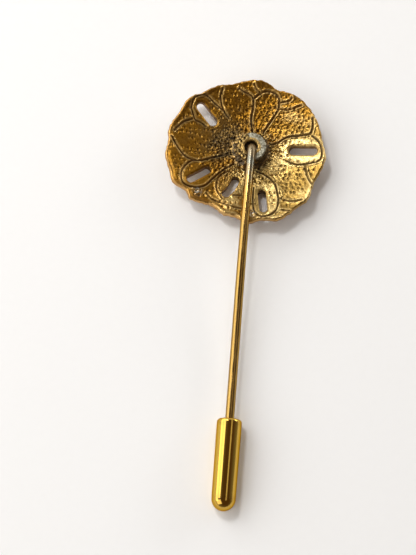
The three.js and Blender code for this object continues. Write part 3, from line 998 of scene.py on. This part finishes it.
class PIN_OT_clutch(bpy.types.Operator):
    """Make the bullet clutch: its drawn shell and the nylon sleeve inside"""

    bl_idname = "pin.make_clutch"
    bl_label = "Make Clutch"

    def execute(self, context):
        settings = context.scene.pin_clutch
        self.shell(settings)
        self.liner()
        return {"FINISHED"}

    def laid(self, vertices):
        """Lays a piece turned about +Z down along the stem, its heights running from the mouth's face."""
        x, y, z = vertices.T
        return np.column_stack([STEM_X + x, MOUTH_Y + z, MOUTH_RADIUS - y])

    def shell(self, settings):
        """The shell's section: from the closed end's outside round the bullet nose, up the slightly tapered
        wall, round the shoulder to the mouth's flat face, in through the hole, and back down the inside."""
        corner = settings.shoulder / MM
        nose = -(CLUTCH_LENGTH - END_RADIUS)
        t = np.linspace(0, 1, 40)[1:-1]
        wall = np.column_stack([
            END_RADIUS + (MOUTH_RADIUS - END_RADIUS) * t, nose + (-corner - nose) * t,
        ])
        inner = END_RADIUS - SHELL_WALL
        profile = np.vstack([
            arc((0, nose), END_RADIUS, -90, 0, 28),
            wall,
            arc((MOUTH_RADIUS - corner, -corner), corner, 0, 90, 14),
            arc((MOUTH_HOLE + 0.12, -0.12), 0.12, 90, 180, 6),
            [(MOUTH_HOLE, -SHELL_WALL), (MOUTH_RADIUS - SHELL_WALL, -SHELL_WALL - 0.05)],
            arc((0, nose), inner, 0, -90, 18),
        ])
        profile[[0, -1], 0] = 0
        vertices, faces = turned(profile, settings.sides)
        shell = put_mesh("clutch_shell", self.laid(vertices), *faces)
        height = vertices[:, 2]
        nose_edge = dent(height - nose - 0.05, 0.35)
        mouth_edge = dent(height + corner * 1.5, 0.35)
        on_nose = 0.35 * ease(nose, nose - 1.6, height)
        keep_value(shell, "tarnish", 0.55 * nose_edge + 0.4 * mouth_edge + on_nose)
        material = polished_brass(tuple(settings.gold))
        finish_piece(shell, "clutch_shell", "clutch", material)

    def liner(self):
        """The sleeve's section: a ring with a funnelled mouth that guides the wire's point in."""
        low, high = (np.array(corner) / MM - HEAD_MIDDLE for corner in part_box("clutch_liner"))
        outer = (high[0] - low[0]) / 2
        start, end = high[1] - MOUTH_Y, low[1] - MOUTH_Y
        bore = 0.73
        profile = np.vstack([
            [(bore, end), (outer - 0.05, end), (outer, end + 0.05)],
            [(outer, start - 0.05), (outer - 0.05, start)],
            arc((bore + 0.27, start - 0.27), 0.27, 90, 180, 8),
        ])
        vertices, faces = turned(profile, 64)
        liner = put_mesh("clutch_liner", self.laid(vertices), *faces)
        finish_piece(liner, "clutch_liner", "clutch", natural_nylon())


class PIN_OT_stage(bpy.types.Operator):
    """Make the table, the soft lights and the camera"""

    bl_idname = "pin.make_stage"
    bl_label = "Make Table, Lights and Camera"

    def execute(self, context):
        settings = context.scene.pin_stage
        self.table(tuple(settings.floor))
        self.soft_light("key", (-0.325, 0.23, 0.37), (0.19, 0.58), settings.key)
        self.soft_light("side", (-0.46, 0.14, 0.21), (0.25, 0.9), settings.side)
        self.soft_light("near", (-0.33, -0.33, 0.3), (0.4, 0.4), settings.near)
        self.soft_light("back", (0.0, 0.45, 0.24), (0.6, 0.3), settings.back)
        self.soft_light("strip", (0.2, 0.08, 0.45), (0.1, 0.6), settings.strip)
        self.soft_light("spark", (-0.155, 0.19, 0.43), (0.09, 0.09), settings.spark)
        self.soft_light("edge", (0.4, 0.3, 0.14), (0.12, 0.3), settings.edge)
        self.surroundings()
        self.camera()
        return {"FINISHED"}

    def table(self, colour):
        """A wide pale sheet under the pin, with a faint paper tooth."""
        mesh = bpy.data.meshes.new("table")
        corners = np.array([(-1, -1, 0), (1, -1, 0), (1, 1, 0), (-1, 1, 0)]) * 1.5
        mesh.from_pydata(corners.tolist(), [], [(0, 1, 2, 3)])
        table = bpy.data.objects.new("table", mesh)
        bpy.context.collection.objects.link(table)
        finish = Finish("table_paper")
        tooth = finish.noise(900, 3)
        mesh.materials.append(finish.done(
            Base_Color=finish.mix(finish.spread(tooth, 0.3, 0.7), tuple(c * 0.99 for c in colour), colour),
            Roughness=0.85, Normal=finish.bump(tooth, 0.05, 0.0001),
        ))

    def soft_light(self, name, place, size, brightness):
        """A flat soft light that looks at the middle of the table, the second of its sides as nearly along
        the pin as its tilt allows. Its power is its brightness times pi times its area."""
        light = bpy.data.lights.new(name, "AREA")
        light.shape = "RECTANGLE"
        light.size, light.size_y = size
        light.energy = brightness * math.pi * size[0] * size[1]
        lamp = bpy.data.objects.new(name, light)
        away = Vector(place).normalized()
        across = Vector((0, 1, 0)).cross(away).normalized()
        lamp.matrix_world = Matrix((across, away.cross(across), away)).transposed().to_4x4()
        lamp.location = place
        bpy.context.collection.objects.link(lamp)

    def surroundings(self):
        """A plain room: light walls, lightest behind the head and on the left, and a dark ceiling that the
        polished metal mirrors."""
        world = bpy.data.worlds.new("room")
        world.use_nodes = True
        nodes, links = world.node_tree.nodes, world.node_tree.links
        heading = nodes.new("ShaderNodeTexCoord").outputs["Generated"]
        parts = nodes.new("ShaderNodeSeparateXYZ")
        links.new(heading, parts.inputs["Vector"])
        ramp = nodes.new("ShaderNodeValToRGB")
        height = parts.outputs["Z"]
        for axis, share in (("Y", -0.45), ("X", 0.3)):
            fall = nodes.new("ShaderNodeMath")
            fall.operation = "MULTIPLY_ADD"
            links.new(parts.outputs[axis], fall.inputs[0])
            fall.inputs[1].default_value = share
            links.new(height, fall.inputs[2])
            height = fall.outputs["Value"]
        links.new(height, ramp.inputs["Fac"])
        ramp.color_ramp.elements[0].position, ramp.color_ramp.elements[0].color = 0.0, (0.95, 0.93, 0.88, 1)
        ramp.color_ramp.elements[1].position, ramp.color_ramp.elements[1].color = 0.85, (0.1, 0.06, 0.03, 1)
        middle = ramp.color_ramp.elements.new(0.4)
        middle.color = (0.24, 0.24, 0.22, 1)
        links.new(ramp.outputs["Color"], nodes["Background"].inputs["Color"])
        nodes["Background"].inputs["Strength"].default_value = 1.0
        bpy.context.scene.world = world

    def camera(self):
        """The camera, almost straight above the pin and a little towards the clutch."""
        data = bpy.data.cameras.new("camera")
        data.sensor_width = 36
        data.lens = 83.87
        data.clip_start, data.clip_end = 0.01, 10
        camera = bpy.data.objects.new("camera", data)
        azimuth, elevation, distance = math.radians(4.6), math.radians(73.13), 0.2
        target = Vector((-4.33, 0.845, 2.5)) * MM
        back = Vector((
            math.sin(azimuth) * math.cos(elevation),
            -math.cos(azimuth) * math.cos(elevation),
            math.sin(elevation),
        ))
        camera.location = target + back * distance
        camera.rotation_euler = (-back).to_track_quat("-Z", "Y").to_euler()
        bpy.context.collection.objects.link(camera)
        bpy.context.scene.camera = camera
        bpy.context.scene.view_settings.view_transform = "Standard"


class PIN_PT_sidebar(bpy.types.Panel):
    """The pin's pieces, each with its settings and its button"""

    bl_idname = "PIN_PT_sidebar"
    bl_label = "Stick Pin"
    bl_space_type = "VIEW_3D"
    bl_region_type = "UI"
    bl_category = "Stick Pin"

    def draw(self, context):
        for name, _, operator in STEPS:
            box = self.layout.box()
            settings = getattr(context.scene, name)
            for prop in settings.bl_rna.properties:
                if prop.identifier not in {"rna_type", "name"}:
                    box.prop(settings, prop.identifier)
            box.operator(operator.bl_idname)


STEPS = [
    ("pin_head", HeadSettings, PIN_OT_head),
    ("pin_solder", SolderSettings, PIN_OT_solder),
    ("pin_wire", WireSettings, PIN_OT_wire),
    ("pin_clutch", ClutchSettings, PIN_OT_clutch),
    ("pin_stage", StageSettings, PIN_OT_stage),
]


def register():
    for name, settings, operator in STEPS:
        bpy.utils.register_class(settings)
        bpy.utils.register_class(operator)
        setattr(bpy.types.Scene, name, PointerProperty(type=settings))
    bpy.utils.register_class(PIN_PT_sidebar)


def unregister():
    bpy.utils.unregister_class(PIN_PT_sidebar)
    for name, settings, operator in reversed(STEPS):
        delattr(bpy.types.Scene, name)
        bpy.utils.unregister_class(operator)
        bpy.utils.unregister_class(settings)


def main():
    register()
    bpy.ops.pin.make_head()
    bpy.ops.pin.make_solder()
    bpy.ops.pin.make_wire()
    bpy.ops.pin.make_clutch()
    bpy.ops.pin.make_stage()


if __name__ == "__main__":
    main()
